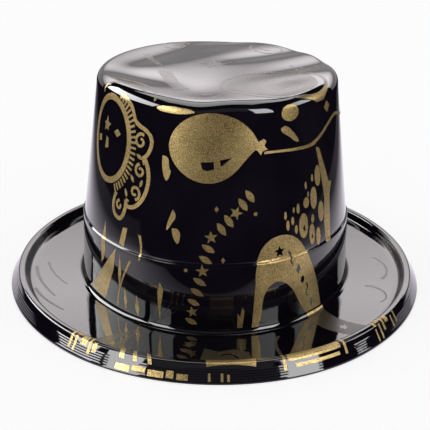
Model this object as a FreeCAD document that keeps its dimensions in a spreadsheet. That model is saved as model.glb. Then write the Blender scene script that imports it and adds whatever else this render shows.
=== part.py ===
import FreeCAD, Part
import math
import os

import Sketcher
from FreeCAD import Placement, Rotation, Vector

# New year party top hat. One sheet of plastic is formed over a plug and trimmed, and metallic foil
# motifs are stamped on it. Millimetres, +Z up, origin at the middle of the table under the hat,
# front towards -Y, the hat's right-hand side of the view towards +X.

# Every contour round the hat is an oval of four tangent arcs: two end arcs (front and back) and two
# side arcs. All contours share the arcs' centres, so one contour is named by its half width alone.
DIMENSIONS = [
    ("head_half_width", 85.0, "half width of the contour that the oval is drawn on"),
    ("oval_lengthening", 12.5, "how much longer the half length is than the half width"),
    ("end_arc_radius", 75.0, "radius of the front and back arcs of that contour"),
    ("crown_height", 136.4, "top of the crown above the table"),
    ("top_half_width", 73.4, "half width of the wall carried up to the crown's top"),
    ("crown_corner_radius", 7.0, "rounding between the wall and the top"),
    ("step_level", 46.5, "upper edge of the moulded step round the wall"),
    ("step_half_width", 84.4, "half width of the wall just above the step"),
    ("step_depth", 0.9, "how far the wall steps out"),
    ("step_rise", 0.8, "height of the sloping face of the step"),
    ("base_half_width", 86.5, "half width of the wall carried down to the brim"),
    ("base_radius", 3.5, "inside rounding between the wall and the brim"),
    ("brim_level", 4.0, "upper side of the flat brim above the table"),
    ("bead_foot_inset", 11.7, "from the trimmed edge in to where the flat brim turns up"),
    ("bead_foot_radius", 1.5, "rounding at the foot of the rim"),
    ("bead_inner_inset", 9.4, "from the trimmed edge in to the rim's inner shoulder"),
    ("bead_outer_inset", 5.4, "from the trimmed edge in to the rim's outer shoulder"),
    ("bead_height", 9.9, "top of the rim above the table"),
    ("bead_radius", 1.6, "rounding of the rim's shoulders"),
    ("brim_half_width", 133.0, "half width at the trimmed edge"),
    ("lip_height", 1.0, "upright part of the trimmed edge"),
    ("sheet_thickness", 0.5, "thickness of the formed sheet"),
    ("foil_thickness", 0.1, "thickness of the stamped foil"),
    ("artwork_girth_half_width", 81.5, "contour on which the artwork's widths are measured"),
    ("artwork_crown_height", 136.9, "crown height that the artwork was drawn for"),
    ("artwork_top_half_width", 73.4, "top half width that the artwork was drawn for"),
    ("artwork_brim_half_width", 133.0, "brim half width that the artwork was drawn for"),
]

STAR = (3.6,) * 5

UPRIGHT = Rotation(Vector(1, 0, 0), 90)
FACING_SIDE = Rotation(Vector(0, 0, 1), 90).multiply(UPRIGHT)


# ---------------------------------------------------------------- the dimensions sheet

def make_sheet(doc):
    """Fill the sheet of driving dimensions."""
    sheet = doc.addObject("Spreadsheet::Sheet", "dimensions")
    for row, (alias, value, meaning) in enumerate(DIMENSIONS, start=1):
        sheet.set(f"A{row}", meaning)
        sheet.set(f"B{row}", str(value))
        sheet.setAlias(f"B{row}", alias)
    doc.recompute()
    return sheet


def cell(alias):
    """Name a cell of the sheet inside an expression."""
    return f"dimensions.{alias}"


def rim_width(inset):
    """Half width of a line on the rim, as an expression on its inset from the trimmed edge."""
    return f"({cell('brim_half_width')} - {cell(inset)})"


# Distances of the arcs' centres from the middle of the hat, as expressions on the sheet.
END_CENTRE = f"({cell('head_half_width')} + {cell('oval_lengthening')} - {cell('end_arc_radius')})"
SIDE_CENTRE = (
    f"(({END_CENTRE} ^ 2 + {cell('head_half_width')} ^ 2 - {cell('end_arc_radius')} ^ 2)"
    f" / (2 * ({cell('head_half_width')} - {cell('end_arc_radius')})) - {cell('head_half_width')})"
)

# Corners of the hat's outer profile from the top to the trimmed edge: half width, height, rounding.
PROFILE_CORNERS = [
    (cell("top_half_width"), cell("crown_height"), cell("crown_corner_radius")),
    (cell("step_half_width"), cell("step_level"), None),
    (f"({cell('step_half_width')} + {cell('step_depth')})",
     f"({cell('step_level')} - {cell('step_rise')})", None),
    (cell("base_half_width"), cell("brim_level"), cell("base_radius")),
    (rim_width("bead_foot_inset"), cell("brim_level"), cell("bead_foot_radius")),
    (rim_width("bead_inner_inset"), cell("bead_height"), cell("bead_radius")),
    (rim_width("bead_outer_inset"), cell("bead_height"), cell("bead_radius")),
    (cell("brim_half_width"), cell("lip_height"), None),
    (cell("brim_half_width"), "0", None),
]


# ---------------------------------------------------------------- the formed shell

def profile_sketch(doc, sheet, name, axis, lengthening, turn):
    """Draw the filled half section of the hat between a turning axis and the outer profile."""
    sketch = doc.addObject("Sketcher::SketchObject", name)
    sketch.Placement = Placement(Vector(), turn)
    corners = [(axis, "0", None), (axis, cell("crown_height"), None)]
    corners += [(f"{width} + {lengthening}", height, rounding)
                for width, height, rounding in PROFILE_CORNERS]
    places = [Vector(float(sheet.evalExpression(across)), float(sheet.evalExpression(up)), 0)
              for across, up, _ in corners]
    count = len(corners)
    for index in range(count):
        sketch.addGeometry(Part.LineSegment(places[index], places[(index + 1) % count]), False)
    for index in range(count):
        sketch.addConstraint(Sketcher.Constraint("Coincident", index, 2, (index + 1) % count, 1))
    for index, (across, up, _) in enumerate(corners):
        bind_distance(sketch, "DistanceX", index, across, places[index].x)
        bind_distance(sketch, "DistanceY", index, up, places[index].y)
    doc.recompute()
    for index, (_, _, rounding) in enumerate(corners):
        if rounding is not None:
            round_corner(sketch, index, places, rounding, float(sheet.evalExpression(rounding)))
    return sketch


def bind_distance(sketch, kind, index, expression, value):
    """Tie a corner's distance from the sketch's origin to an expression."""
    if expression == "0":
        sketch.addConstraint(Sketcher.Constraint("PointOnObject", index, 1, -1))
        return
    constraint = sketch.addConstraint(Sketcher.Constraint(kind, -1, 1, index, 1, value))
    sketch.renameConstraint(constraint, f"{kind}{index}")
    sketch.setExpression(f"Constraints.{kind}{index}", expression)


def round_corner(sketch, index, places, expression, radius):
    """Round the corner between two lines and tie the rounding to its cell."""
    count = len(places)
    before = sketch.GeometryCount
    corner = places[index]
    on_last_line = corner + (places[(index - 1) % count] - corner) * 0.2
    on_next_line = corner + (places[(index + 1) % count] - corner) * 0.2
    sketch.fillet((index - 1) % count, index, on_last_line, on_next_line, radius, True, True)
    arc = next(number for number in range(before, sketch.GeometryCount)
               if isinstance(sketch.Geometry[number], Part.ArcOfCircle))
    constraint = sketch.addConstraint(Sketcher.Constraint("Radius", arc, radius))
    sketch.renameConstraint(constraint, f"Rounding{index}")
    sketch.setExpression(f"Constraints.Rounding{index}", expression)


def make_sector(doc, name, sketch, axis_direction, own_centre, other_centre):
    """Turn a profile about the centre of its arcs, as far as the joins with its neighbours."""
    sector = doc.addObject("Part::Revolution", name)
    sector.Source = sketch
    sector.Axis = Vector(0, 0, 1)
    sector.Solid = True
    sector.Symmetric = True
    sector.setExpression(axis_direction, own_centre)
    far = own_centre.lstrip("-")
    sector.setExpression("Angle", f"2 * atan({other_centre} / {far}) / 1deg")
    return sector


def mirror_copy(doc, name, source, normal):
    """Mirror a sector through the middle of the hat."""
    copy = doc.addObject("Part::Mirroring", name)
    copy.Source = source
    copy.Normal = normal
    return copy


def make_forming_plug(doc, sheet):
    """Build the solid plug with the outer shape of the hat, from its four sectors."""
    side_profile = profile_sketch(doc, sheet, "side_profile", "-" + SIDE_CENTRE, "0", UPRIGHT)
    end_profile = profile_sketch(doc, sheet, "end_profile", END_CENTRE,
                                 cell("oval_lengthening"), FACING_SIDE)
    right = make_sector(doc, "right_sector", side_profile, "Base.x", "-" + SIDE_CENTRE, END_CENTRE)
    back = make_sector(doc, "back_sector", end_profile, "Base.y", END_CENTRE, SIDE_CENTRE)
    left = mirror_copy(doc, "left_sector", right, Vector(1, 0, 0))
    front = mirror_copy(doc, "front_sector", back, Vector(0, 1, 0))
    plug = doc.addObject("Part::MultiFuse", "forming_plug")
    plug.Shapes = [right, back, left, front]
    plug.Refine = True
    doc.recompute()
    return plug


def make_hat_shell(doc, plug):
    """Hollow the plug from its underside to the thickness of the sheet."""
    underside = [f"Face{number}" for number, face in enumerate(plug.Shape.Faces, start=1)
                 if abs(face.CenterOfMass.z) < 1e-3]
    shell = doc.addObject("Part::Thickness", "hat_shell")
    shell.Faces = (plug, underside)
    shell.setExpression("Value", "-" + cell("sheet_thickness"))
    return shell


def make_foil_layer(doc, plug):
    """Build the layer over the whole hat that every foil motif is cut from."""
    grown = doc.addObject("Part::Offset", "foil_surface")
    grown.Source = plug
    grown.Join = "Intersection"
    grown.setExpression("Value", cell("foil_thickness"))
    layer = doc.addObject("Part::Cut", "foil_layer")
    layer.Base = grown
    layer.Tool = plug
    doc.recompute()
    return layer


# ---------------------------------------------------------------- outlines of the artwork
# An outline is a list of runs, each a list of (across, up) points: two points are a straight run,
# more are a smooth curve through them. A single run that ends where it begins closes smoothly.

def polygon(*points):
    """Straight-sided outline."""
    return [[point, points[(index + 1) % len(points)]] for index, point in enumerate(points)]


def drop(*points):
    """Smooth outline with one corner, at its first point."""
    middle = len(points) // 2
    return [list(points[:middle + 1]), list(points[middle:]) + [points[0]]]


def ellipse(across, up, half_width, half_height, tilt=0.0):
    """Oval outline, tilted anticlockwise by degrees."""
    steps = 12
    turn = math.radians(tilt)
    run = []
    for step in range(steps + 1):
        angle = 2 * math.pi * step / steps
        x = half_width * math.cos(angle)
        y = half_height * math.sin(angle)
        run.append((across + x * math.cos(turn) - y * math.sin(turn),
                    up + x * math.sin(turn) + y * math.cos(turn)))
    run[-1] = run[0]
    return [run]


def ribbon(points, width, end_width=None):
    """Band along a smooth line of points, whose width changes evenly to end_width."""
    if end_width is None:
        end_width = width
    last = len(points) - 1
    left, right = [], []
    for index, (x, y) in enumerate(points):
        ahead = points[min(index + 1, last)]
        behind = points[max(index - 1, 0)]
        run_x, run_y = ahead[0] - behind[0], ahead[1] - behind[1]
        length = math.hypot(run_x, run_y)
        half = (width + (end_width - width) * index / last) / 2
        left.append((x - run_y / length * half, y + run_x / length * half))
        right.append((x + run_y / length * half, y - run_x / length * half))
    right.reverse()
    return [left, [left[-1], right[0]], right, [right[-1], left[0]]]


def spiral(across, up, radius, turns, start, width):
    """Curl that winds inwards from its radius, starting at an angle in degrees."""
    steps = max(6, round(abs(turns) * 10))
    line = []
    for step in range(steps + 1):
        part = step / steps
        angle = math.radians(start + 360 * turns * part)
        reach = radius * (1 - 0.72 * part)
        line.append((across + reach * math.cos(angle), up + reach * math.sin(angle)))
    return ribbon(line, width, width * 0.8)


def serpentine(begin, end, waves, swing, width):
    """Smooth wavy band from begin to end."""
    run_x, run_y = end[0] - begin[0], end[1] - begin[1]
    length = math.hypot(run_x, run_y)
    steps = round(waves * 6)
    line = []
    for step in range(steps + 1):
        part = step / steps
        side = swing * math.sin(2 * math.pi * waves * part)
        line.append((begin[0] + run_x * part - run_y / length * side,
                     begin[1] + run_y * part + run_x / length * side))
    return ribbon(line, width)


def burst(across, up, reaches, inner, first=90.0):
    """Star with one spike for each reach, evenly spaced from an angle in degrees."""
    points = []
    for index, reach in enumerate(reaches):
        spike = math.radians(first + 360 * index / len(reaches))
        valley = math.radians(first + 360 * (index + 0.5) / len(reaches))
        points.append((across + reach * math.cos(spike), up + reach * math.sin(spike)))
        points.append((across + inner * math.cos(valley), up + inner * math.sin(valley)))
    return polygon(*points)


def lozenge(across, up, half_width, half_height):
    """Upright diamond."""
    return polygon((across, up + half_height), (across + half_width, up),
                   (across, up - half_height), (across - half_width, up))


def leaf(across, up, half_length, half_width, tilt):
    """Pointed leaf, tilted anticlockwise by degrees from upright."""
    turn = math.radians(tilt)
    ahead = (-math.sin(turn) * half_length, math.cos(turn) * half_length)
    side = (math.cos(turn) * half_width, math.sin(turn) * half_width)
    tip, tail = (across + ahead[0], up + ahead[1]), (across - ahead[0], up - ahead[1])
    right, left = (across + side[0], up + side[1]), (across - side[0], up - side[1])
    return [[tip, left, tail], [tail, right, tip]]


def garland(begin, end, pattern, half_length, half_width, slant):
    """Leaves and stars in a row: L or S in the pattern, leaves slanted from square to the row."""
    run_x, run_y = end[0] - begin[0], end[1] - begin[1]
    heading = math.degrees(math.atan2(run_y, run_x))
    outlines = []
    for index, kind in enumerate(pattern):
        part = index / (len(pattern) - 1)
        across, up = begin[0] + run_x * part, begin[1] + run_y * part
        if kind == "S":
            outlines.append(burst(across, up, (half_length * 0.9,) * 5, half_length * 0.38,
                                  heading + 90))
        else:
            outlines.append(leaf(across, up, half_length, half_width, heading + slant))
    return outlines


def moved(outline, across, up):
    """Shift an outline."""
    return [[(x + across, y + up) for x, y in run] for run in outline]


# ---------------------------------------------------------------- laying artwork on the hat

class HatSurface:
    """Places flat artwork on the wall, the top and the brim of the hat."""

    def __init__(self, sheet):
        self.size = {alias: sheet.get(alias) for alias, _, _ in DIMENSIONS}
        size = self.size
        self.end_centre = (size["head_half_width"] + size["oval_lengthening"]
                           - size["end_arc_radius"])
        side_radius = ((self.end_centre ** 2 + size["head_half_width"] ** 2
                        - size["end_arc_radius"] ** 2)
                       / (2 * (size["head_half_width"] - size["end_arc_radius"])))
        self.side_centre = side_radius - size["head_half_width"]
        self.join = math.atan2(self.side_centre, self.end_centre)
        girth = size["artwork_girth_half_width"] - size["head_half_width"]
        self.end_reach = size["end_arc_radius"] + girth
        self.side_reach = side_radius + girth
        self.end_arc = self.end_reach * self.join
        self.quarter = self.end_arc + self.side_reach * (math.pi / 2 - self.join)

    def contour(self, along, half_width):
        """Give the point and the outward direction on a contour, at a distance from the front."""
        turns = math.floor((along + 2 * self.quarter) / (4 * self.quarter))
        rest = along - turns * 4 * self.quarter
        side = -1 if rest < 0 else 1
        rest = abs(rest)
        back = rest > self.quarter
        if back:
            rest = 2 * self.quarter - rest
        grown = half_width - self.size["artwork_girth_half_width"]
        if rest <= self.end_arc:
            angle = rest / self.end_reach
            centre_x, centre_y, radius = 0.0, -self.end_centre, self.end_reach + grown
        else:
            angle = self.join + (rest - self.end_arc) / self.side_reach
            centre_x, centre_y, radius = -self.side_centre, 0.0, self.side_reach + grown
        normal = Vector(math.sin(angle), -math.cos(angle), 0)
        point = Vector(centre_x + radius * normal.x, centre_y + radius * normal.y, 0)
        if back:
            point.y, normal.y = -point.y, -normal.y
        if side < 0:
            point.x, normal.x = -point.x, -normal.x
        return point, normal

    def wall_frame(self, outline):
        """Give the plane that touches the wall at the middle of an outline."""
        across = [x for run in outline for x, _ in run]
        middle = (min(across) + max(across)) / 2
        half_width = self.size["artwork_girth_half_width"]
        rise = self.size["crown_height"] / self.size["artwork_crown_height"]
        origin, normal = self.contour(middle, half_width)
        tangent = Vector(-normal.y, normal.x, 0)

        def place(point):
            there, _ = self.contour(point[0], half_width)
            return origin + tangent * (there - origin).dot(tangent) + Vector(0, 0, point[1] * rise)

        return place, normal

    def plan_frame(self, half_width, drawn_half_width, level):
        """Give the level plane over the top or the brim, stretched to the hat's own size."""
        longer = self.size["oval_lengthening"]
        stretch_x = half_width / drawn_half_width
        stretch_y = (half_width + longer) / (drawn_half_width + longer)

        def place(point):
            return Vector(point[0] * stretch_x, point[1] * stretch_y, level)

        return place

    def rim_patch(self, begin, end, inner, outer):
        """Outline of a piece of the rim between two distances and two drawn half widths."""
        steps = 4
        distances = [begin + (end - begin) * step / steps for step in range(steps + 1)]
        inside = [tuple(self.contour(along, inner)[0])[:2] for along in distances]
        outside = [tuple(self.contour(along, outer)[0])[:2] for along in reversed(distances)]
        return [inside, [inside[-1], outside[0]], outside, [outside[-1], inside[0]]]


def outline_wire(outline, place):
    """Turn an outline's runs into a closed wire."""
    edges = []
    for run in outline:
        points = [place(point) for point in run]
        if len(points) == 2:
            edges.append(Part.makeLine(*points))
            continue
        curve = Part.BSplineCurve()
        if run[0] == run[-1]:
            curve.interpolate(points[:-1], PeriodicFlag=True)
        else:
            curve.interpolate(points)
        edges.append(curve.toShape())
    return Part.Wire(edges)


def stamp(outline, holes, place, start, travel):
    """Push an outline with holes through the foil layer."""
    faces = [Part.Face(outline_wire(each, place)) for each in [outline] + holes]
    for face in faces:
        face.translate(start)
    solids = [face.extrude(travel) for face in faces]
    return solids[0].cut(solids[1:]) if holes else solids[0]


class Stamping:
    """Collects the stamps of each foil motif and cuts the motifs from the foil layer."""

    WALL_REACH = 22.0
    SLACK = 3.0
    LOWEST_FOIL = 0.4
    BRIM_TOP_OF_FLOOR = 2.0

    def __init__(self, doc, layer, surface):
        self.doc = doc
        self.layer = layer
        self.surface = surface
        self.motifs = []

    def wall(self, outline, *holes):
        """Stamp on the wall, square to it at the middle of the outline."""
        place, normal = self.surface.wall_frame(outline)
        reach = self.WALL_REACH
        return stamp(outline, list(holes), place, normal * -reach, normal * 2 * reach)

    def top(self, outline, *holes):
        """Stamp on the top of the crown."""
        size = self.surface.size
        place = self.surface.plan_frame(size["top_half_width"], size["artwork_top_half_width"],
                                        size["crown_height"] - size["crown_corner_radius"])
        depth = size["crown_corner_radius"] + self.SLACK
        return stamp(outline, list(holes), place, Vector(), Vector(0, 0, depth))

    def brim(self, outline, *holes):
        """Stamp on the flat brim and over the rim."""
        return self.level_stamp(outline, holes, self.surface.size["bead_height"] + self.SLACK)

    def brim_floor(self, outline, *holes):
        """Stamp on the flat brim, up to where the wall's artwork begins."""
        return self.level_stamp(outline, holes, self.surface.size["brim_level"]
                                + self.BRIM_TOP_OF_FLOOR)

    def level_stamp(self, outline, holes, highest):
        """Stamp downwards on the brim from a highest level."""
        size = self.surface.size
        place = self.surface.plan_frame(size["brim_half_width"], size["artwork_brim_half_width"],
                                        self.LOWEST_FOIL)
        return stamp(outline, list(holes), place, Vector(), Vector(0, 0, highest - self.LOWEST_FOIL))

    def motif(self, name, stamps):
        """Cut one motif's foil from the layer."""
        shape = stamps[0].multiFuse(stamps[1:]) if len(stamps) > 1 else stamps[0]
        tool = self.doc.addObject("Part::Feature", name + "_stamp")
        tool.Shape = shape
        foil = self.doc.addObject("Part::Common", name)
        foil.Base = self.layer
        foil.Tool = tool
        foil.Label = name
        self.motifs.append(foil)


# ---------------------------------------------------------------- motifs on the wall
# Wall artwork: across is the distance round the hat from the front, up is the height.

def balloon(press, name, across, up):
    """Party balloon with two small glints and its knot."""
    body = drop((24.5, 0.3), (21.5, 7), (13, 15), (1, 19), (-11, 17.5), (-21, 10.5), (-25.5, 0),
                (-21.5, -10.5), (-12, -17.5), (-2, -19), (8, -15.5), (17, -6.5))
    glint = polygon((-7.6, -7.6), (-0.4, -7), (-0.2, -11.2), (-4, -12.2), (-6.6, -11.4))
    sliver = polygon((2.8, -6.2), (9.6, -4.8), (3.4, -9.8))
    knot = polygon((23.6, 1.6), (29.2, 4.4), (30.8, 3), (29.6, 0.6), (31.4, -1.6), (28.4, -2.4),
                   (27.4, -4.4), (25.2, -1.6), (23.6, -1.0))
    press.motif(name, [press.wall(moved(body, across, up), moved(glint, across, up),
                                  moved(sliver, across, up)),
                       press.wall(moved(knot, across, up))])


def balloon_string(press, name, across, up):
    """String of a balloon, waving round the side of the crown."""
    near = [(31.0, -3.4), (43, -3.8), (54, -4.6), (62, -4.9), (69, -4.3)]
    middle = [(68, -4.4), (75, -2.4), (82, 0.6), (90, 3.8), (98, 5.4)]
    far = [(97, 5.3), (106, 4.8), (114, 2.4), (122, 0.4), (131, 1.0)]
    loops = [ribbon(near, 1.3, 2.1), ribbon(middle, 2.1), ribbon(far, 2.1, 1.4)]
    press.motif(name, [press.wall(moved(loop, across, up)) for loop in loops])


def round_frame(press, name, across, up):
    """Round picture frame: a plain band."""
    press.motif(name, [press.wall(ellipse(across, up, 21.0, 26.0),
                                  ellipse(across, up, 17.4, 22.4))])


def frame_scrolls(press, name, across, up):
    """Ticks, scalloped border and curls outside the round frame."""
    stamps = []
    for degrees in range(-66, 67, 6):
        angle = math.radians(degrees)
        inner = (across + 22.0 * math.cos(angle), up + 27.0 * math.sin(angle))
        outer = (across + 26.2 * math.cos(angle), up + 31.4 * math.sin(angle))
        stamps.append(press.wall(ribbon([inner, outer], 1.4)))
    borders = [
        [(9, 26.5), (16, 25.5), (21.5, 21.5), (24.5, 15.5), (31, 12.4), (36.6, 8.4), (36.4, 1),
         (32, -4)],
        [(32.6, -3), (36.6, -10), (37, -19), (33.5, -28), (27, -33.6), (20, -33.4)],
        [(21, -31), (20.4, -38), (16.6, -43), (11.4, -41), (10, -34), (12, -28.6)],
    ]
    stamps += [press.wall(moved(ribbon(border, 2.7, 2.3), across, up)) for border in borders]
    curls = [(29.9, 5.0, 4.4, 1.1, 60), (31.0, -11.6, 3.9, 1.1, 100), (28.0, -24.6, 4.2, 1.1, -80),
             (15.6, -35.4, 2.9, 0.9, 90)]
    stamps += [press.wall(moved(spiral(x, y, radius, turns, start, 1.8), across, up))
               for x, y, radius, turns, start in curls]
    fillings = [(29.6, -3.8, 2.6, 1.1, 60), (33.2, -5.8, 2.2, 0.9, 10), (25.2, -17.2, 2.6, 1.1, 35),
                (32.4, -18.6, 2.4, 1.0, -20), (20.8, -26.6, 2.6, 1.1, 20), (22.4, -30.6, 1.6, 0.8, 70)]
    stamps += [press.wall(moved(leaf(*filling), across, up)) for filling in fillings]
    press.motif(name, stamps)


def frame_confetti(press, name, across, up):
    """Confetti inside the round frame."""
    shapes = [burst(-5, 7, (5.2, 3.6, 4.6, 3.8, 5.0), 2.2), lozenge(8, 5, 3.4, 2.4),
              polygon((-15.4, -5), (-11.6, -4), (-12, -0.4), (-16, -1)),
              polygon((-5.4, -7), (-1.2, -5.6), (-2, -0.4), (-4.8, 0.4))]
    press.motif(name, [press.wall(moved(shape, across, up)) for shape in shapes])


def garlands(press, name, rows, bits):
    """Rows of leaves and stars with confetti beside them."""
    stamps = [press.wall(outline) for row in rows for outline in garland(*row)]
    stamps += [press.wall(bit) for bit in bits]
    press.motif(name, stamps)


def arch_banner(press, name):
    """Broad arched streamer that runs down the wall and out over the brim."""
    band = [[(18.8, 7), (21, 35)], [(21, 35), (22.4, 48), (28, 57), (38, 60.4), (49, 56.4),
                                    (57.4, 45), (65.5, 28), (72, 7)],
            [(72, 7), (57.4, 7)], [(57.4, 7), (47.6, 22.5), (40.5, 31), (34.5, 33.4), (28.4, 30),
                                   (25.2, 20), (22.4, 7)], [(22.4, 7), (18.8, 7)]]
    marks = [burst(36.6, 51.0, STAR, 1.7), serpentine((42.6, 49.6), (45.4, 42.0), 1, 0.9, 1.1),
             lozenge(49.6, 37.6, 1.8, 3.4), ellipse(53.4, 30.0, 1.5, 2.3),
             serpentine((56.6, 26.4), (58.2, 17.6), 1, 0.9, 1.1), lozenge(62.0, 12.6, 1.7, 3.0)]
    tail = [[(54, -72), (58.5, -83), (67, -92), (79, -97), (92, -96)], [(92, -96), (98, -87)],
            [(98, -87), (86, -85), (75, -79), (68, -70), (64, -60)], [(64, -60), (54, -72)]]
    tail_star = burst(75.6, -88, STAR, 1.7, 70)
    press.motif(name, [press.wall(band, *marks), press.brim_floor(tail, tail_star)])


def bubbles(press, name, across, up):
    """Cloud of bubbles, some with a glint in them."""
    sizes = [(-3, -9, 3.8, 7.4), (0, 4, 2.5, 3.2), (4, -16, 2.6, 6.4), (7, 5, 3.1, 6.6),
             (12, 17, 3.0, 6.2), (14, -5, 3.0, 6.2), (10, -19, 2.3, 5.4), (-16.5, 0, 0.9, 2.4),
             (-15, -6, 1.1, 3.0), (-11.5, -4, 1.1, 2.4), (-9, -9.6, 1.1, 2.6), (-7, 2.2, 1.2, 3.0),
             (-10.4, 2, 0.8, 1.6), (0.2, 14, 0.9, 2.2), (2, 8.4, 0.8, 1.7), (6.4, 17, 1.0, 2.2),
             (5.2, -7, 1.4, 2.6)]
    glints = {0: (-2.6, -10.6, 0.9, 1.8), 2: (4.3, -17.4, 0.7, 1.5)}
    stamps = []
    for index, size in enumerate(sizes):
        holes = [moved(ellipse(*glints[index]), across, up)] if index in glints else []
        stamps.append(press.wall(moved(ellipse(*size), across, up), *holes))
    press.motif(name, stamps)


def spray(press, name, across, up):
    """Tall jagged spray."""
    jagged = polygon((-7, 30), (-3.6, 28.6), (1.4, 17), (6, 6), (9.6, 5.4), (6.4, -2), (5.6, -16),
                     (4.4, -28.6), (-1.4, -30), (-2.2, -16), (-0.4, -2), (-2.6, 10))
    press.motif(name, [press.wall(moved(jagged, across, up))])


def confetti(press, name, across, up):
    """Loose confetti round the crown."""
    pieces = [ellipse(48, 18.4, 6.2, 4.6), drop((43.4, 11.6), (49, 8), (53.2, 1.6), (48.6, 3.4),
                                               (44.4, 6.6), (41, 10)),
              ellipse(-26, 21.4, 11, 1.9), lozenge(86, 15, 4, 3.4),
              drop((-32, -4), (-28.4, -5.6), (-27.6, -10.4), (-26.6, -12), (-29.6, -17.4),
                   (-31.4, -13), (-32.2, -8)),
              drop((-24, -33.4), (-22.6, -36), (-24.4, -41), (-27.6, -45.4), (-26.4, -39)),
              drop((-24.2, -44), (-20, -45), (-19.4, -48.8), (-21, -52.4), (-23.4, -48.6))]
    press.motif(name, [press.wall(moved(piece, across, up)) for piece in pieces])


def slivers(press, name, across):
    """Thin streamers that stand on the lower wall."""
    pieces = [polygon((-58, 58.6), (-54.2, 59), (-56.2, 47), (-60.4, 48.4)),
              ribbon([(-44.6, 57.6), (-43, 50), (-43.4, 43)], 2.0, 1.0),
              polygon((-58.4, 43), (-57.2, 30), (-59, 19), (-60.2, 30)),
              ribbon([(-49.6, 40.6), (-56, 28), (-59.4, 18), (-60.8, 8)], 1.6, 0.8),
              polygon((-54.6, 23), (-52.2, 15), (-53.4, 7.6), (-55, 14)),
              polygon((-45.2, 20.6), (-43.2, 12), (-44, 7.6), (-46.4, 12)),
              polygon((-30.4, 33), (-27.8, 29), (-29.4, 18), (-29.8, 7.6), (-31.2, 18), (-31.6, 27)),
              polygon((12.6, 17), (14, 14), (15.2, 20.4), (16.6, 18), (15.4, 7.6), (12.4, 7.6))]
    press.motif(name, [press.wall(moved(piece, across, 0)) for piece in pieces])


def rays(press, name, across):
    """Broad rays that fan down the side of the crown."""
    broad = polygon((-61.6, 44.6), (-64, 30), (-73, 7.6), (-92, 7.6), (-76, 27))
    narrow = polygon((-75.6, 57.6), (-72.8, 40), (-74.6, 33.6), (-77.6, 30), (-78, 44))
    press.motif(name, [press.wall(moved(broad, across, 0)), press.wall(moved(narrow, across, 0))])


# ---------------------------------------------------------------- motifs on the top
# Top and brim artwork: across is x and up is y, looking down on the hat.

def top_motifs(press):
    """Ring, disc, burst, shards and small pieces on the crown's top."""
    press.motif("foil_top_ring", [press.top(ellipse(32.6, -41.0, 33.4, 27.0, 35),
                                            ellipse(32.6, -41.0, 31.4, 25.0, 35))])
    press.motif("foil_top_disc", [press.top(ellipse(31.8, -41.4, 28.2, 21.8, 35))])
    press.motif("foil_top_burst", [press.top(burst(-1, 4, (18, 9, 14, 8, 12, 9, 13, 8, 15, 9), 3.6,
                                                   100))])
    shards = [polygon((-49, 35), (-44, 38), (-40.6, 22), (-33.6, -3), (-38, 2), (-44, 20)),
              polygon((-36, -15), (-28, -15.6), (-22, -40), (-15.6, -52), (-23, -57), (-29, -42))]
    press.motif("foil_top_shards", [press.top(shard) for shard in shards])
    arcs = [ribbon([(-62, -32), (-50, -39.5), (-40, -51), (-34.4, -64), (-33.6, -75)], 1.4),
            ribbon([(-65, -40), (-54, -45.5), (-44.4, -55), (-38.6, -68)], 1.4)]
    press.motif("foil_top_arcs", [press.top(arc) for arc in arcs])
    crescent = drop((-19, -66), (-15, -72), (-8, -74.4), (-1, -72.4), (3, -66), (-3, -70),
                    (-8, -71.4), (-14, -69.6))
    press.motif("foil_top_crescent", [press.top(crescent), press.top(lozenge(-7, -64, 4.6, 2.2))])
    dots = [ellipse(x, y, 1.5, 1.9) for x, y in ((46, 6), (52, 3), (49, -2), (58, 1), (61, 8))]
    press.motif("foil_top_dots", [press.top(dot) for dot in dots])
    back_curls = [spiral(-28, 62, 11, 1.3, 30, 2.0), spiral(34, 54, 13, 1.4, 140, 2.0)]
    press.motif("foil_top_curls", [press.top(curl) for curl in back_curls])


# ---------------------------------------------------------------- motifs on the brim

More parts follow.
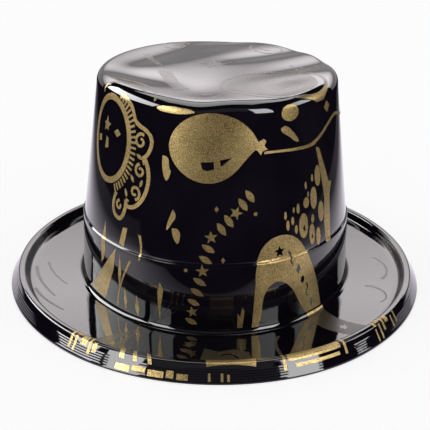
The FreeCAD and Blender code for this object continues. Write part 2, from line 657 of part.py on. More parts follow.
def brim_motifs(press):
    """Motifs on the flat brim, front first."""
    gift = polygon((-5, -115), (3, -118.4), (11, -115.4), (19.6, -118), (22.4, -134), (22.8, -139.2),
                   (-3.6, -141), (-4.6, -133), (-8, -131))
    bow = ribbon([(4, -123), (7.6, -120.6), (11, -121.6), (13.6, -125)], 1.5)
    press.motif("foil_brim_gift", [press.brim(gift, bow)])
    focus = (-41.6, -93.4)
    fan_ends = [((-70, -107.6), (-62, -113.2)), ((-59.4, -116.6), (-54, -120)),
                ((-50.6, -130.6), (-48.0, -131.8)), ((-43.0, -133.8), (-40.8, -134.7)),
                ((-34.8, -136.7), (-32.6, -137.4))]
    press.motif("foil_brim_fan", [press.brim(polygon(focus, *ends)) for ends in fan_ends])
    row = garland((-12.4, -104), (-18.4, -131), "LSLLS", 3.8, 1.6, -20)
    press.motif("foil_brim_garland", [press.brim_floor(outline) for outline in row])
    press.motif("foil_brim_slip", [press.brim_floor(polygon((14, -104), (18.4, -104), (18, -115),
                                                            (15.4, -117)))])
    press.motif("foil_brim_ribbon", [press.brim(ribbon([(37.2, -100), (35, -106), (36, -116),
                                                        (38.4, -127.4)], 1.8))])
    left_arcs = [ribbon([(-117, -12), (-110, -34), (-98, -54)], 2.4, 1.2),
                 ribbon([(-110, -6), (-103, -24), (-93, -38)], 1.6, 0.9),
                 ribbon([(-112, -44), (-102, -60), (-90, -72)], 2.2, 1.1)]
    press.motif("foil_brim_arcs_left", [press.brim_floor(arc) for arc in left_arcs])
    right_arcs = [ribbon([(108, -24), (113.4, -12), (112, 2), (107, 10)], 2.0, 1.0),
                  ribbon([(96, -34), (104, -38), (107, -48), (102, -56)], 1.8, 1.0)]
    press.motif("foil_brim_arcs_right", [press.brim_floor(arc) for arc in right_arcs])
    back_rows = (garland((-66, 98), (-28, 118), "LLSLLS", 4.2, 1.7, -20)
                 + garland((30, 117), (66, 98), "SLLSLL", 4.2, 1.7, 20))
    press.motif("foil_brim_back_garlands", [press.brim_floor(outline) for outline in back_rows])
    back_rays = [polygon((2, 106), (-14 + 9 * index, 133 - abs(index - 2)),
                         (-10 + 9 * index, 134 - abs(index - 2))) for index in range(5)]
    press.motif("foil_brim_back_fan", [press.brim(ray) for ray in back_rays])


def rim_motifs(press):
    """Patches of foil that wrap the rolled rim."""
    rim_patch = press.surface.rim_patch

    def patches(name, spans):
        press.motif(name, [press.brim(rim_patch(*span)) for span in spans])

    patches("foil_rim_front_right", [(24.6, 45.0, 124.4, 128.6), (22.8, 23.8, 123, 131),
                                     (46.4, 47.4, 122.6, 131), (27, 44, 129.6, 130.5)])
    patches("foil_rim_block_right", [(64.6, 66.2, 123, 128), (64.6, 65.4, 128.8, 132.4),
                                     (67, 69.4, 124, 126.6), (67.4, 68.4, 127.6, 132.4),
                                     (70.2, 71.4, 123, 130.6), (72.4, 74.8, 125, 128.8),
                                     (77, 77.8, 128, 131.6), (80, 80.8, 127, 131)])
    patches("foil_rim_block_left", [(-52.4, -51.4, 124, 131.6), (-50.6, -48.2, 124, 126.2),
                                    (-50.2, -49.2, 127.2, 132), (-47.4, -44.6, 124.6, 129.4),
                                    (-43.8, -42.8, 123, 131.4), (-42, -40.4, 127, 130.2)])
    patches("foil_rim_lip", [(-32, -27, 130.9, 132.6), (-26.2, -21.6, 130.6, 132.0),
                             (-20.8, -15.6, 130.9, 132.6), (-14.8, -12.4, 130.4, 132.4),
                             (-11.4, -7.8, 131.0, 132.6), (-1.6, -0.8, 130.4, 132.6),
                             (2.4, 3.2, 130.4, 132.6), (4.4, 5.2, 130.8, 132.6)])
    half_girth = 2 * press.surface.quarter
    patches("foil_rim_back", [(half_girth - 46, half_girth - 24, 123, 130.6),
                              (half_girth + 20, half_girth + 26, 124, 132.4),
                              (half_girth + 27, half_girth + 38, 123, 131)])


# ---------------------------------------------------------------- the whole hat

def wall_motifs(press):
    """Front motifs, and the repeat of the artwork on the back."""
    half_girth = 2 * press.surface.quarter
    balloon(press, "foil_balloon_front", -1, 112)
    balloon_string(press, "foil_string_front", -1, 112)
    round_frame(press, "foil_round_frame", -78.5, 106)
    frame_scrolls(press, "foil_frame_scrolls", -78.5, 106)
    frame_confetti(press, "foil_frame_confetti", -78.5, 106)
    garlands(press, "foil_garland_upper", [((3.4, 67.4), (19.4, 85.4), "LLSLL", 4.4, 1.9, -14)],
             [lozenge(0.6, 78.6, 1.2, 1.8), ellipse(22.6, 75.0, 1.1, 1.1)])
    garlands(press, "foil_garland_middle", [((-9.2, 30.0), (-2.2, 62.6), "LLSLLS", 4.3, 1.8, -18)],
             [ellipse(-15.4, 43, 1.1, 1.1), lozenge(4.4, 49.4, 1.2, 1.8)])
    garlands(press, "foil_garland_lower", [((-12.2, 11.6), (-11.0, 23.6), "LSL", 3.9, 1.7, -18)], [])
    arch_banner(press, "foil_arch_banner")
    bubbles(press, "foil_bubbles_front", 58, 71)
    spray(press, "foil_spray", 77, 75)
    confetti(press, "foil_confetti_front", 0, 110)
    slivers(press, "foil_slivers_front", 0)
    rays(press, "foil_rays_front", 0)
    balloon(press, "foil_balloon_back", half_girth - 1, 104)
    balloon_string(press, "foil_string_back", half_girth - 1, 104)
    bubbles(press, "foil_bubbles_back", half_girth - 78, 72)
    confetti(press, "foil_confetti_back", half_girth, 102)
    slivers(press, "foil_slivers_back", half_girth + 8)
    rays(press, "foil_rays_back", half_girth + 128)
    garlands(press, "foil_garland_back",
             [((half_girth - 36, 32), (half_girth - 24, 66), "LSLLSL", 4.3, 1.8, -18),
              ((half_girth + 20, 34), (half_girth + 50, 42), "LLSLL", 4.3, 1.8, 14)], [])


def check_objects(doc):
    """Stop if any object of the document failed."""
    for thing in doc.Objects:
        if {"Invalid", "Error"} & set(thing.State):
            raise RuntimeError(f"{thing.Label} failed: {thing.State}")


def write_parts(parts):
    """Check each sub-part's shape and write it to its file."""
    os.makedirs("parts", exist_ok=True)
    for part in parts:
        shape = part.Shape
        if shape.isNull() or not shape.isValid() or not shape.Solids:
            raise RuntimeError(f"{part.Label} has no valid solid")
    for part in parts:
        part.Shape.exportStep(f"parts/{part.Label}.step")
        print(part.Label, len(part.Shape.Solids), "solids", round(part.Shape.Volume, 2), "mm3")


def main():
    """Build the hat and write its parts."""
    doc = FreeCAD.newDocument("party_hat")
    sheet = make_sheet(doc)
    plug = make_forming_plug(doc, sheet)
    shell = make_hat_shell(doc, plug)
    layer = make_foil_layer(doc, plug)
    press = Stamping(doc, layer, HatSurface(sheet))
    wall_motifs(press)
    top_motifs(press)
    brim_motifs(press)
    rim_motifs(press)
    doc.recompute()
    check_objects(doc)
    write_parts([shell] + press.motifs)


main()
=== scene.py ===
import logging
import math
from dataclasses import dataclass, field
from enum import Enum
from typing import Any, Sequence

import bmesh
import bpy
from mathutils import Matrix, Vector, noise
from mathutils.bvhtree import BVHTree
from mathutils.interpolate import poly_3d_calc


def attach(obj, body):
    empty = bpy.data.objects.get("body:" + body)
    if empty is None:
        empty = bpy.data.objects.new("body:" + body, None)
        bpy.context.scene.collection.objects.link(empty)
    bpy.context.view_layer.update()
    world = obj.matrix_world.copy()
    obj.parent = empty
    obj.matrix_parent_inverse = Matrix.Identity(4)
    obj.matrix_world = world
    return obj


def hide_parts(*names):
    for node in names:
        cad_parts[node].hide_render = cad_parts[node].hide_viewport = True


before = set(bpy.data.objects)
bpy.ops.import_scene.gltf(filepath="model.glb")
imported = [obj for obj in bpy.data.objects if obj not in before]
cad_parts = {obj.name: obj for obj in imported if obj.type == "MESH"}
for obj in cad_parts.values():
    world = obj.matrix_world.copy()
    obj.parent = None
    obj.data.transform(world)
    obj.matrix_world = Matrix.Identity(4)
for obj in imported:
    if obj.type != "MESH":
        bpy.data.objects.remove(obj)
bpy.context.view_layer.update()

LOG = logging.getLogger("party_hat")
MM = 0.001
LONGEST_RUN = 3.2 * MM


# ---------------------------------------------------------------- shader tools

class Signal:
    """A value output of a node, on which arithmetic adds Math nodes."""

    def __init__(self, graph: "ShaderGraph", socket: Any) -> None:
        """Wrap one output socket."""
        self.graph = graph
        self.socket = socket

    def _math(self, operation: str, first: Any, second: Any) -> "Signal":
        """Add one Math node."""
        return self.graph.value("ShaderNodeMath", {"operation": operation}, {0: first, 1: second})

    def __add__(self, other: Any) -> "Signal":
        """Sum."""
        return self._math("ADD", self, other)

    __radd__ = __add__

    def __rsub__(self, other: Any) -> "Signal":
        """Difference from a number."""
        return self._math("SUBTRACT", other, self)

    def __mul__(self, other: Any) -> "Signal":
        """Product."""
        return self._math("MULTIPLY", self, other)

    __rmul__ = __mul__

    def above(self, limit: float) -> "Signal":
        """One where the value is over a limit, zero elsewhere."""
        return self._math("GREATER_THAN", self, limit)

    def larger(self, other: Any) -> "Signal":
        """The larger of two values."""
        return self._math("MAXIMUM", self, other)


class ShaderGraph:
    """The nodes of one material."""

    def __init__(self, name: str) -> None:
        """Start an empty material.

        Args:
            name: the material's name.
        """
        self.material = bpy.data.materials.new(name)
        self.material.use_nodes = True
        self.nodes = self.material.node_tree.nodes
        self.links = self.material.node_tree.links
        self.nodes.clear()

    def node(self, kind: str, settings: dict[str, Any], inputs: dict[Any, Any]) -> Any:
        """Add a node.

        Args:
            kind: the node's type.
            settings: properties to set first.
            inputs: socket name or number to a value, a socket or a Signal.

        Returns:
            The new node.
        """
        made = self.nodes.new(kind)
        for key, value in settings.items():
            setattr(made, key, value)
        for key, value in inputs.items():
            socket = made.inputs[key]
            if isinstance(value, Signal):
                self.links.new(value.socket, socket)
            elif isinstance(value, bpy.types.NodeSocket):
                self.links.new(value, socket)
            else:
                socket.default_value = value
        return made

    def value(self, kind: str, settings: dict[str, Any], inputs: dict[Any, Any],
              output: int | str = 0) -> Signal:
        """Add a node and return one of its outputs as a Signal."""
        return Signal(self, self.node(kind, settings, inputs).outputs[output])

    def place(self) -> Any:
        """Socket of the object coordinates."""
        return self.node("ShaderNodeTexCoord", {}, {}).outputs["Object"]

    def along(self, axis: str) -> Signal:
        """Object coordinate along one axis, X, Y or Z."""
        return self.value("ShaderNodeSeparateXYZ", {}, {"Vector": self.place()}, axis)

    def facing_up(self) -> Signal:
        """How far the surface faces up: one on level ground, zero on a wall."""
        normal = self.node("ShaderNodeTexCoord", {}, {}).outputs["Normal"]
        return self.value("ShaderNodeSeparateXYZ", {}, {"Vector": normal}, "Z")

    def noise(self, scale: float, detail: float = 2.0, roughness: float = 0.5) -> Signal:
        """Noise over the piece, with its scale in repeats per metre."""
        return self.value("ShaderNodeTexNoise", {"noise_dimensions": "3D"},
                          {"Vector": self.place(), "Scale": scale, "Detail": detail,
                           "Roughness": roughness})

    def levels(self, source: Signal, low: float, high: float, to_low: float = 0.0,
               to_high: float = 1.0) -> Signal:
        """Stretch a range of values to another, without going past it."""
        return self.value("ShaderNodeMapRange", {"clamp": True},
                          {"Value": source, "From Min": low, "From Max": high,
                           "To Min": to_low, "To Max": to_high})

    def mix_colour(self, factor: Any, first: Any, second: Any) -> Any:
        """Socket of a blend of two colours."""
        mixed = self.node("ShaderNodeMix", {"data_type": "RGBA"},
                          {"Factor": factor, 6: first, 7: second})
        return mixed.outputs[2]

    def bump(self, height: Signal, strength: float, distance: float) -> Any:
        """Socket of normals raised by a height."""
        return self.node("ShaderNodeBump", {},
                         {"Height": height, "Strength": strength,
                          "Distance": distance}).outputs["Normal"]

    def finish(self, inputs: dict[str, Any]) -> bpy.types.Material:
        """Add the surface shader and return the material."""
        surface = self.node("ShaderNodeBsdfPrincipled", {}, inputs)
        self.node("ShaderNodeOutputMaterial", {}, {"Surface": surface.outputs["BSDF"]})
        return self.material


# ---------------------------------------------------------------- finishes

@dataclass(frozen=True)
class BlackPlastic:
    """Glossy black formed sheet, with a faint haze and fine rubs."""

    name: str = "gloss_black_plastic"
    colour: tuple[float, float, float, float] = (0.0062, 0.0045, 0.0088, 1.0)
    rubbed: tuple[float, float, float, float] = (0.013, 0.011, 0.016, 1.0)

    def make(self) -> bpy.types.Material:
        """Build the material."""
        graph = ShaderGraph(self.name)
        haze = graph.levels(graph.noise(38.0, 3.0), 0.42, 0.72)
        speck = graph.levels(graph.noise(1500.0, 2.0), 0.70, 0.80)
        colour = graph.mix_colour(haze * 0.5 + speck * 0.35, self.colour, self.rubbed)
        rough = haze * 0.035 + speck * 0.12 + 0.035
        peel = graph.noise(260.0, 1.0) + graph.noise(70.0, 1.0) * 2.0
        normal = graph.bump(peel, 0.16, 0.00006)
        return graph.finish({"Base Color": colour, "Roughness": rough, "IOR": 1.52,
                             "Normal": normal})


@dataclass(frozen=True)
class GoldFoil:
    """Stippled gold foil, with painted shade where the crown's top and the brim face up: there it
    is darker, not metallic and smoother.
    """

    name: str = "stippled_gold_foil"
    bright: tuple[float, float, float, float] = (0.74, 0.54, 0.225, 1.0)
    deep: tuple[float, float, float, float] = (0.17, 0.115, 0.038, 1.0)
    # Painted shade: the dark colour given to foil that faces up on the crown's top and the brim.
    painted_shade_colour: tuple[float, float, float, float] = (0.095, 0.075, 0.044, 1.0)
    metallic: float = 0.62
    roughness: float = 0.42
    # Painted shade: how much smoother upward-facing foil is made, and over what range of facing up
    # the painted shade comes in.
    painted_shade_smoother: float = 0.14
    painted_shade_from: float = 0.72
    painted_shade_to: float = 0.95
    brim_below: float = 5.5 * MM
    top_above: float = 100.0 * MM

    def make(self) -> bpy.types.Material:
        """Build the material."""
        graph = ShaderGraph(self.name)
        grain = graph.noise(1700.0, 2.0, 0.6)
        stipple = graph.levels(grain, 0.40, 0.62)
        cloud = graph.levels(graph.noise(55.0, 3.0), 0.35, 0.7)
        laid = graph.mix_colour(stipple * 0.75 + cloud * 0.25, self.deep, self.bright)
        # Painted shade: where the foil faces up on the crown's top and the brim's floor, it turns
        # dark, loses its metal and grows smoother, standing in for the shade that upward-facing
        # foil falls in.
        flat = graph.levels(graph.facing_up(), self.painted_shade_from, self.painted_shade_to) * self.off_rim(graph)
        colour = graph.mix_colour(flat, laid, self.painted_shade_colour)
        rough = stipple * -0.08 + self.roughness + flat * -self.painted_shade_smoother
        normal = graph.bump(grain * (1.0 - flat), 0.3, 0.00010)
        return graph.finish({"Base Color": colour, "Metallic": self.metallic - flat * self.metallic,
                             "Roughness": rough, "IOR": 1.5, "Normal": normal})

    def off_rim(self, graph: ShaderGraph) -> Signal:
        """One on the brim's floor and the crown's top, zero on the raised rim between them."""
        level = graph.along("Z")
        return level.above(self.top_above) + (1.0 - level.above(self.brim_below))


@dataclass(frozen=True)
class PaleCard:
    """White studio card, which the hat's gloss sees as a soft pool of light beside the hat."""

    name: str = "pale_studio_card"
    colour: tuple[float, float, float, float] = (0.94, 0.94, 0.945, 1.0)
    glow: float = 0.72
    outside: tuple[float, float, float, float] = (0.10, 0.10, 0.11, 1.0)
    pool: tuple[float, float, float, float] = (1.25, 1.18, 1.3, 1.0)
    reach: tuple[float, float] = (-0.17, -0.10)
    spread: tuple[float, float] = (0.18, 0.28)

    def make(self) -> bpy.types.Material:
        """Build the material."""
        graph = ShaderGraph(self.name)
        matte = graph.node("ShaderNodeBsdfPrincipled", {},
                           {"Base Color": self.colour, "Roughness": 1.0,
                            "Specular IOR Level": 0.0, "Emission Color": self.colour,
                            "Emission Strength": self.glow})
        across = graph.along("X")
        share = (graph.levels(graph.along("Y"), *self.reach)
                 * graph.levels(across.larger(across * -1.0), *self.spread, 1.0, 0.0))
        shade = graph.mix_colour(share, self.outside, self.pool)
        gloss = graph.node("ShaderNodeEmission", {}, {"Color": shade, "Strength": 1.0})
        path = graph.node("ShaderNodeLightPath", {}, {})
        seen = graph.node("ShaderNodeMixShader", {},
                          {"Fac": path.outputs["Is Glossy Ray"], 1: matte.outputs[0],
                           2: gloss.outputs[0]})
        graph.node("ShaderNodeOutputMaterial", {}, {"Surface": seen.outputs[0]})
        return graph.material


@dataclass(frozen=True)
class GlowingBackdrop:
    """Lit cloth behind the table, brighter towards its top."""

    name: str = "glowing_backdrop"
    low: float = 0.5
    high: float = 3.9
    low_level: float = 0.44
    high_level: float = 0.85
    green: float = 0.945
    blue: float = 0.97

    def make(self) -> bpy.types.Material:
        """Build the material."""
        graph = ShaderGraph(self.name)
        glow = graph.levels(graph.along("Z"), self.low_level, self.high_level,
                            self.low, self.high)
        shade = graph.node("ShaderNodeCombineColor", {},
                           {"Red": glow, "Green": glow * self.green, "Blue": glow * self.blue})
        cloth = graph.node("ShaderNodeEmission", {}, {"Color": shade.outputs[0], "Strength": 1.0})
        graph.node("ShaderNodeOutputMaterial", {}, {"Surface": cloth.outputs[0]})
        return graph.material


# ---------------------------------------------------------------- the hat's oval

@dataclass(frozen=True)
class HatOval:
    """Four tangent arcs round the hat, whose contours share their centres. Metres."""

    head_half_width: float = 85.0 * MM
    lengthening: float = 12.5 * MM
    end_radius: float = 75.0 * MM

    @property
    def end_centre(self) -> float:
        """Distance of the front and back arcs' centres from the middle."""
        return self.head_half_width + self.lengthening - self.end_radius

    @property
    def side_centre(self) -> float:
        """Distance of the side arcs' centres from the middle."""
        half = self.head_half_width
        radius = ((self.end_centre ** 2 + half ** 2 - self.end_radius ** 2)
                  / (2 * (half - self.end_radius)))
        return radius - half

    @property
    def side_angle(self) -> float:
        """Half the angle that a side arc spans."""
        return math.atan2(self.end_centre, self.side_centre)


class Bulge(Enum):
    """Which way a dent goes."""

    IN = -1.0
    OUT = 1.0


@dataclass(frozen=True)
class Dent:
    """A shallow long dent or ridge in the crown's top, in the plane of the top."""

    x: float
    y: float
    length: float
    width: float
    turn: float
    depth: float
    way: Bulge = Bulge.IN

    def lift(self, x: float, y: float) -> float:
        """Height that the dent adds at a place on the top.

        Args:
            x: place across, in millimetres.
            y: place along, in millimetres.

        Returns:
            Height in millimetres.
        """
        turn = math.radians(self.turn)
        across, along = x - self.x, y - self.y
        run = (across * math.cos(turn) + along * math.sin(turn)) / self.length
        side = (along * math.cos(turn) - across * math.sin(turn)) / self.width
        return self.way.value * self.depth * math.exp(-(run * run + side * side))


# ---------------------------------------------------------------- the formed shell

@dataclass
class FormedShell:
    """The hat's one sheet of plastic: crown, moulded step, brim and raised rim."""

    oval: HatOval = field(default_factory=HatOval)
    crown_height: float = 136.4 * MM
    top_half_width: float = 73.4 * MM
    corner_radius: float = 7.0 * MM
    step_level: float = 46.5 * MM
    step_half_width: float = 84.4 * MM
    step_depth: float = 0.9 * MM
    step_rise: float = 0.8 * MM
    base_half_width: float = 86.5 * MM
    base_radius: float = 3.5 * MM
    brim_level: float = 4.0 * MM
    bead_foot: float = 121.3 * MM
    bead_foot_radius: float = 1.5 * MM
    bead_inner: float = 123.6 * MM
    bead_outer: float = 127.6 * MM
    bead_height: float = 9.9 * MM
    bead_radius: float = 1.6 * MM
    brim_half_width: float = 133.0 * MM
    lip_height: float = 1.0 * MM
    sheet: float = 0.5 * MM
    open_top: float = 14.0 * MM
    groove_height: float = 0.9 * MM
    groove_depth: float = 0.25 * MM
    ridges: int = 5
    ridges_from: float = 0.34
    ridges_to: float = 0.92
    ridge_radius: float = 0.22 * MM
    ridge_height: float = 0.08 * MM
    side_steps: int = 96
    end_steps: int = 62
    wall_wave: float = 0.18 * MM
    wave_repeats: float = 22.0
    dents: tuple[Dent, ...] = (
        Dent(-40, 34, 46, 13, 62, 1.5),
        Dent(22, 30, 52, 11, 38, 1.7),
        Dent(56, 10, 40, 10, 50, 1.4),
        Dent(-10, -60, 30, 15, 80, 1.6),
        Dent(40, -58, 28, 12, 58, 1.5),
        Dent(-46, -26, 32, 11, -40, 1.4),
        Dent(4, 78, 20, 8, 8, 1.6),
        Dent(-6, 10, 40, 13, 40, 1.3, Bulge.OUT),
        Dent(50, -24, 32, 12, 34, 1.1, Bulge.OUT),
        Dent(-12, -88, 12, 9, 0, 1.6),
        Dent(34, -84, 14, 9, 30, 1.2),
    )

    def outer_profile(self) -> list[tuple[float, float, float, int]]:
        """List the outer profile's corners from the top to the trimmed edge.

        Returns:
            Half width, height, rounding and steps of each corner.
        """
        slope = ((self.step_half_width - self.top_half_width)
                 / (self.crown_height - self.step_level))
        corners = [(self.open_top, self.crown_height, 0.0, 0)]
        corners.append((self.top_half_width, self.crown_height, self.corner_radius, 12))
        corners.append((self.step_half_width - slope * self.groove_height,
                        self.step_level + self.groove_height, 0.5 * MM, 2))
        corners.append((self.step_half_width - self.groove_depth, self.step_level,
                        self.groove_depth, 2))
        corners.append((self.step_half_width + self.step_depth, self.step_level - self.step_rise,
                        0.4 * MM, 3))
        corners.append((self.base_half_width, self.brim_level, self.base_radius, 10))
        corners.append((self.bead_foot, self.brim_level, self.bead_foot_radius, 4))
        corners.append((self.bead_inner, self.bead_height, self.bead_radius, 5))
        corners.append((self.bead_outer, self.bead_height, self.bead_radius, 5))
        corners += self.rim_ridges()
        corners.append((self.brim_half_width, self.lip_height, 0.2 * MM, 2))
        corners.append((self.brim_half_width, 0.0, 0.0, 0))
        return corners

    def rim_ridges(self) -> list[tuple[float, float, float, int]]:
        """Corners of the fine ridges that run round the rim's outer slope."""
        top = Vector((self.bead_outer, self.bead_height))
        low = Vector((self.brim_half_width, self.lip_height))
        run = low - top
        out = Vector((-run.y, run.x)).normalized()
        corners = []
        for index in range(2 * self.ridges):
            part = (self.ridges_from
                    + (self.ridges_to - self.ridges_from) * index / (2 * self.ridges - 1))
            away = -self.ridge_height if index % 2 == 0 else 0.0
            spot = top + run * part + out * away
            corners.append((spot.x, spot.y, self.ridge_radius, 2))
        return corners

    def draw_profile(self, bm: bmesh.types.BMesh) -> list[bmesh.types.BMEdge]:
        """Draw the rounded profile along +X from the right side arc's centre.

        Args:
            bm: the mesh to draw in.

        Returns:
            The profile's edges.
        """
        corners = self.outer_profile()
        verts = [bm.verts.new((width, 0.0, height)) for width, height, _, _ in corners]
        for first, second in zip(verts, verts[1:]):
            bm.edges.new((first, second))
        for index, (_, _, radius, steps) in enumerate(corners):
            if radius > 0.0:
                self.round_corner(bm, verts[index], radius, steps)
        self.divide_long_edges(bm)
        return list(bm.edges)

    @staticmethod
    def round_corner(bm: bmesh.types.BMesh, vert: bmesh.types.BMVert, radius: float,
                     steps: int) -> None:
        """Round one corner of the profile with an arc.

        Args:
            bm: the profile's mesh.
            vert: the corner.
            radius: radius of the arc.
            steps: edges along the arc.
        """
        first, second = (edge.other_vert(vert).co - vert.co for edge in vert.link_edges)
        half = first.angle(second) / 2
        reach = min(radius / math.tan(half), first.length * 0.48, second.length * 0.48)
        bmesh.ops.bevel(bm, geom=[vert], offset=reach, offset_type="OFFSET", affect="VERTICES",
                        segments=steps, profile=0.5, material=-1)

    @staticmethod
    def divide_long_edges(bm: bmesh.types.BMesh) -> None:
        """Divide the profile's long straight runs so that the sheet can take its waves."""
        for edge in list(bm.edges):
            cuts = math.floor(edge.calc_length() / LONGEST_RUN)
            if cuts:
                bmesh.ops.subdivide_edges(bm, edges=[edge], cuts=cuts)

    def spin_round(self, bm: bmesh.types.BMesh, edges: Sequence[bmesh.types.BMEdge]) -> None:
        """Turn the profile round the four arcs of the oval.

        Args:
            bm: the shell's mesh.
            edges: the profile's edges.
        """
        side, end = self.oval.side_centre, self.oval.end_centre
        side_turn = 2 * self.oval.side_angle
        end_turn = math.pi - side_turn
        start = Matrix.Rotation(-self.oval.side_angle, 3, "Z")
        bmesh.ops.rotate(bm, cent=(-side, 0.0, 0.0), matrix=start, verts=list(bm.verts))
        geometry = list(bm.verts) + list(edges)
        turns = [((-side, 0.0, 0.0), side_turn, self.side_steps),
                 ((0.0, end, 0.0), end_turn, self.end_steps),
                 ((side, 0.0, 0.0), side_turn, self.side_steps),
                 ((0.0, -end, 0.0), end_turn, self.end_steps)]
        for centre, turn, steps in turns:
            spun = bmesh.ops.spin(bm, geom=geometry, cent=centre, axis=(0.0, 0.0, 1.0),
                                  angle=turn, steps=steps)
            geometry = spun["geom_last"]
        bmesh.ops.remove_doubles(bm, verts=list(bm.verts), dist=1e-6)

    def close_top(self, bm: bmesh.types.BMesh) -> None:
        """Close the middle of the crown's top with rings that shrink to a point."""
        for scale in (0.75, 0.5, 0.25):
            share = scale / (scale + 0.25)
            edges = self.top_rim(bm)
            grown = bmesh.ops.extrude_edge_only(bm, edges=edges)
            verts = [item for item in grown["geom"] if isinstance(item, bmesh.types.BMVert)]
            bmesh.ops.scale(bm, vec=(share, share, 1.0), verts=verts)
        edges = self.top_rim(bm)
        grown = bmesh.ops.extrude_edge_only(bm, edges=edges)
        verts = [item for item in grown["geom"] if isinstance(item, bmesh.types.BMVert)]
        bmesh.ops.pointmerge(bm, verts=verts, merge_co=(0.0, 0.0, self.crown_height))

    def top_rim(self, bm: bmesh.types.BMesh) -> list[bmesh.types.BMEdge]:
        """Open edges in the middle of the crown's top."""
        return [edge for edge in bm.edges if edge.is_boundary
                and edge.verts[0].co.z > self.crown_height / 2]

    def crumple(self, bm: bmesh.types.BMesh) -> None:
        """Press the dents into the top and give the wall its slight waves."""
        wall_bottom = self.step_level + 8 * MM
        for vert in bm.verts:
            x, y, z = vert.co
            height = (z - wall_bottom) / (self.crown_height - wall_bottom)
            if height > 0.0:
                lift = sum(dent.lift(x / MM, y / MM) for dent in self.dents) * MM
                vert.co.z += lift * min(1.0, height) ** 8
            if z > self.brim_level + self.base_radius:
                wave = noise.noise(Vector((x, y, z * 0.5)) * self.wave_repeats)
                out = Vector((x, y, 0.0)).normalized()
                share = min(1.0, (z - 10 * MM) / (30 * MM))
                vert.co += out * wave * self.wall_wave * share

    def build(self) -> bpy.types.Object:
        """Build the outer surface of the shell.

        Returns:
            The shell's object, with no thickness yet.
        """
        bm = bmesh.new()
        edges = self.draw_profile(bm)
        self.spin_round(bm, edges)
        self.close_top(bm)
        self.crumple(bm)
        bmesh.ops.recalc_face_normals(bm, faces=list(bm.faces))
        mesh = bpy.data.meshes.new("formed_shell")
        bm.to_mesh(mesh)
        bm.free()
        mesh.shade_smooth()
        shell = bpy.data.objects.new("formed_shell", mesh)
        bpy.context.scene.collection.objects.link(shell)
        return shell

    def thicken(self, shell: bpy.types.Object) -> None:
        """Give the shell the thickness of its sheet, inwards."""
        wall = shell.modifiers.new("sheet_thickness", "SOLIDIFY")
        wall.thickness = self.sheet
        wall.offset = -1.0
        wall.use_rim = True


# ---------------------------------------------------------------- foil

class FoilLayer:
    """Lays each foil motif on the formed shell, so that it follows the dents."""

    thickness = 0.05 * MM
    gap = 0.02 * MM
    grid = 1.5 * MM

    def __init__(self, shell: bpy.types.Object) -> None:
        """Prepare the search for the nearest place on the shell.

        Args:
            shell: the shell's outer surface.
        """
        self.mesh = shell.data
        verts = [vert.co.copy() for vert in self.mesh.vertices]
        faces = [tuple(face.vertices) for face in self.mesh.polygons]
        self.tree = BVHTree.FromPolygons(verts, faces)
        self.corners = faces
        self.places = verts
        self.normals = [vert.normal.copy() for vert in self.mesh.vertices]

    def on_shell(self, place: Vector) -> tuple[Vector, Vector]:
        """Nearest place on the shell and the smooth normal there."""
        spot, _, index, _ = self.tree.find_nearest(place)
        corners = self.corners[index]
        shares = poly_3d_calc([self.places[corner] for corner in corners], spot)
        normal = Vector()
        for share, corner in zip(shares, corners):
            normal += self.normals[corner] * share
        return spot, normal.normalized()

    def lay(self, node: bpy.types.Object) -> bpy.types.Object:
        """Copy a foil node, keep its outer skin, and lay it on the shell.

        Args:
            node: the motif's CAD node.

        Returns:
            The new piece.
        """
        bm = bmesh.new()
        bm.from_mesh(node.data)
        bmesh.ops.remove_doubles(bm, verts=list(bm.verts), dist=1e-6)
        inner = [face for face in bm.faces
                 if face.normal.dot(self.on_shell(face.calc_center_median())[1]) < 0.35]
        bmesh.ops.delete(bm, geom=inner, context="FACES")
        self.slice_up(bm)
        raised = bmesh.ops.extrude_face_region(bm, geom=list(bm.faces), use_keep_orig=True)
        upper = {item for item in raised["geom"] if isinstance(item, bmesh.types.BMVert)}
        for vert in bm.verts:
            spot, normal = self.on_shell(vert.co)
            lift = self.gap + (self.thickness if vert in upper else 0.0)
            vert.co = spot + normal * lift
        bmesh.ops.recalc_face_normals(bm, faces=list(bm.faces))
        mesh = bpy.data.meshes.new(node.name + "_laid")
        bm.to_mesh(mesh)
        bm.free()
        mesh.shade_smooth()
        mesh.set_sharp_from_angle(angle=math.radians(40))
        piece = bpy.data.objects.new(node.name + "_laid", mesh)
        bpy.context.scene.collection.objects.link(piece)
        return piece

    def slice_up(self, bm: bmesh.types.BMesh) -> None:
        """Cut a motif's long faces along a grid, so that it can bend with the shell."""
        for axis in range(3):
            low = min(vert.co[axis] for vert in bm.verts)
            high = max(vert.co[axis] for vert in bm.verts)
            direction = Vector((0.0, 0.0, 0.0))
            direction[axis] = 1.0
            for step in range(math.ceil(low / self.grid), math.floor(high / self.grid) + 1):
                geometry = list(bm.verts) + list(bm.edges) + list(bm.faces)
                bmesh.ops.bisect_plane(bm, geom=geometry, dist=1e-7,
                                       plane_co=direction * step * self.grid, plane_no=direction)


# ---------------------------------------------------------------- studio

@dataclass(frozen=True)
class SoftLight:
    """A soft rectangular light that faces the hat. Metres, degrees and watts."""

    name: str
    place: tuple[float, float, float]
    size: tuple[float, float]
    power: float

    @classmethod
    def around(cls, name: str, azimuth: float, elevation: float, distance: float,
               size: tuple[float, float], power: float) -> "SoftLight":
        """Place a light round the hat.

        Args:
            name: the light's name.
            azimuth: degrees from the front, towards the right-hand side.
            elevation: degrees above the table.
            distance: metres from the hat.
            size: width and height.
            power: watts.

        Returns:
            The light's description.
        """
        turn, rise = math.radians(azimuth), math.radians(elevation)
        place = (distance * math.cos(rise) * math.sin(turn),
                 -distance * math.cos(rise) * math.cos(turn), distance * math.sin(rise) + 0.05)
        return cls(name, place, size, power)


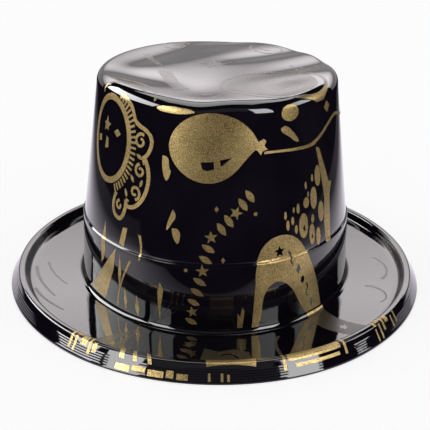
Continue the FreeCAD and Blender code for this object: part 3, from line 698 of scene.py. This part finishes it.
@dataclass
class Studio:
    """Camera, floor and soft lights."""

    eye: Vector = field(default_factory=lambda: Vector((-0.00025, -0.5558, 0.264)))
    pitch: float = 0.3876
    roll: float = 0.0151
    lens: float = 76.49
    aim: tuple[float, float, float] = (0.0, 0.0, 0.07)
    gloss_sky: tuple[float, float, float, float] = (0.004, 0.004, 0.005, 1.0)
    white: tuple[float, float, float, float] = (1.0, 1.0, 1.0, 1.0)
    matte_sky: float = 0.32
    lights: tuple[SoftLight, ...] = (
        SoftLight.around("left_softbox", -48.0, 23.0, 1.2, (0.40, 0.70), 8.5),
        SoftLight.around("right_softbox", 48.0, 23.0, 1.2, (0.40, 0.70), 8.5),
        SoftLight.around("left_bank", -97.0, 27.0, 1.2, (1.4, 0.5), 26.0),
        SoftLight.around("right_bank", 92.0, 27.0, 1.2, (0.4, 0.5), 4.0),
        SoftLight.around("front_fill", 0.0, 42.0, 1.3, (1.5, 0.7), 0.7),
        SoftLight("top_softbox", (0.0, 0.50, 1.25), (1.2, 1.1), 16.0),
    )

    def camera(self) -> None:
        """Stand the camera in front of the hat and look down at it."""
        data = bpy.data.cameras.new("studio_camera")
        data.lens = self.lens
        data.sensor_width = 36.0
        data.clip_start = 0.01
        camera = bpy.data.objects.new("studio_camera", data)
        turn = (Matrix.Rotation(math.pi / 2 - self.pitch, 4, "X")
                @ Matrix.Rotation(self.roll, 4, "Z"))
        camera.matrix_world = Matrix.Translation(self.eye) @ turn
        bpy.context.scene.collection.objects.link(camera)
        bpy.context.scene.camera = camera

    def card(self, name: str, low: tuple[float, float, float], high: tuple[float, float, float],
             material: bpy.types.Material) -> bpy.types.Object:
        """Stand or lay a flat card between two corners.

        Args:
            name: the card's name.
            low: its lowest corner.
            high: its highest corner, level with low along one axis.
            material: its finish.

        Returns:
            The card.
        """
        middle = (Vector(low) + Vector(high)) / 2
        size = Vector(high) - Vector(low)
        bm = bmesh.new()
        bmesh.ops.create_grid(bm, x_segments=1, y_segments=1, size=0.5)
        if size.y == 0.0:
            bmesh.ops.rotate(bm, cent=(0.0, 0.0, 0.0), matrix=Matrix.Rotation(math.pi / 2, 3, "X"),
                             verts=list(bm.verts))
        bmesh.ops.scale(bm, vec=tuple(max(side, 1e-6) for side in size), verts=list(bm.verts))
        bmesh.ops.translate(bm, vec=middle, verts=list(bm.verts))
        mesh = bpy.data.meshes.new(name)
        bm.to_mesh(mesh)
        bm.free()
        mesh.materials.append(material)
        card = bpy.data.objects.new(name, mesh)
        bpy.context.scene.collection.objects.link(card)
        return card

    def floor(self) -> None:
        """Lay the pale floor; only the table top round the hat shows in the hat's gloss."""
        card = PaleCard().make()
        drop = -0.0001
        front, side, back, far = -0.165, 0.35, 0.9, 3.0
        self.card("table_top", (-side, front, drop), (side, back, drop), card)
        margins = {"floor_front": ((-far, -far, drop), (far, front, drop)),
                   "floor_back": ((-far, back, drop), (far, far, drop)),
                   "floor_left": ((-far, front, drop), (-side, back, drop)),
                   "floor_right": ((side, front, drop), (far, back, drop))}
        for name, (low, high) in margins.items():
            self.card(name, low, high, card).visible_glossy = False

    def backdrop(self) -> None:
        """Hang the glowing cloth that the crown's top and the brim mirror."""
        cloth = self.card("backdrop", (-1.6, 1.6, 0.0), (1.6, 1.6, 1.0), GlowingBackdrop().make())
        cloth.visible_camera = False
        cloth.visible_diffuse = False

    def hang(self, kind: SoftLight) -> None:
        """Hang a soft light that only the gloss shows.

        Args:
            kind: what the light is and where it hangs.
        """
        data = bpy.data.lights.new(kind.name, "AREA")
        data.shape = "RECTANGLE"
        data.size, data.size_y = kind.size
        data.energy = kind.power
        light = bpy.data.objects.new(kind.name, data)
        away = Vector(self.aim) - Vector(kind.place)
        light.rotation_euler = away.to_track_quat("-Z", "Y").to_euler()
        light.location = kind.place
        light.visible_diffuse = False
        bpy.context.scene.collection.objects.link(light)

    def world(self) -> None:
        """White surroundings for the camera, dimmer for matte light, darkest for the gloss."""
        world = bpy.data.worlds.new("studio_world")
        world.use_nodes = True
        nodes, links = world.node_tree.nodes, world.node_tree.links
        nodes.clear()
        path = nodes.new("ShaderNodeLightPath")
        out = nodes.new("ShaderNodeOutputWorld")
        shades = []
        for colour, strength in ((self.gloss_sky, 1.0), (self.white, self.matte_sky),
                                 (self.white, 1.0)):
            shade = nodes.new("ShaderNodeBackground")
            shade.inputs["Color"].default_value = colour
            shade.inputs["Strength"].default_value = strength
            shades.append(shade.outputs[0])
        seen = shades[0]
        for ray, shade in (("Is Diffuse Ray", shades[1]), ("Is Camera Ray", shades[2])):
            mix = nodes.new("ShaderNodeMixShader")
            links.new(path.outputs[ray], mix.inputs["Fac"])
            links.new(seen, mix.inputs[1])
            links.new(shade, mix.inputs[2])
            seen = mix.outputs[0]
        links.new(seen, out.inputs["Surface"])
        bpy.context.scene.world = world

    def build(self) -> None:
        """Set everything up."""
        self.camera()
        self.floor()
        self.backdrop()
        for kind in self.lights:
            self.hang(kind)
        self.world()
        bpy.context.scene.view_settings.view_transform = "Standard"


def main() -> None:
    """Build the hat and its studio."""
    logging.basicConfig(level=logging.INFO, format="%(name)s: %(message)s")
    Studio().build()
    black = BlackPlastic().make()
    gold = GoldFoil().make()
    maker = FormedShell()
    shell = maker.build()
    layer = FoilLayer(shell)
    shell.data.materials.append(black)
    maker.thicken(shell)
    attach(shell, "root")
    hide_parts("hat_shell")
    LOG.info("formed_shell: %d faces", len(shell.data.polygons))
    for name, node in sorted(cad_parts.items()):
        if name == "hat_shell":
            continue
        piece = layer.lay(node)
        piece.data.materials.append(gold)
        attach(piece, "root")
        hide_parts(name)
        LOG.info("%s: %d faces", piece.name, len(piece.data.polygons))


if __name__ == "__main__":
    main()
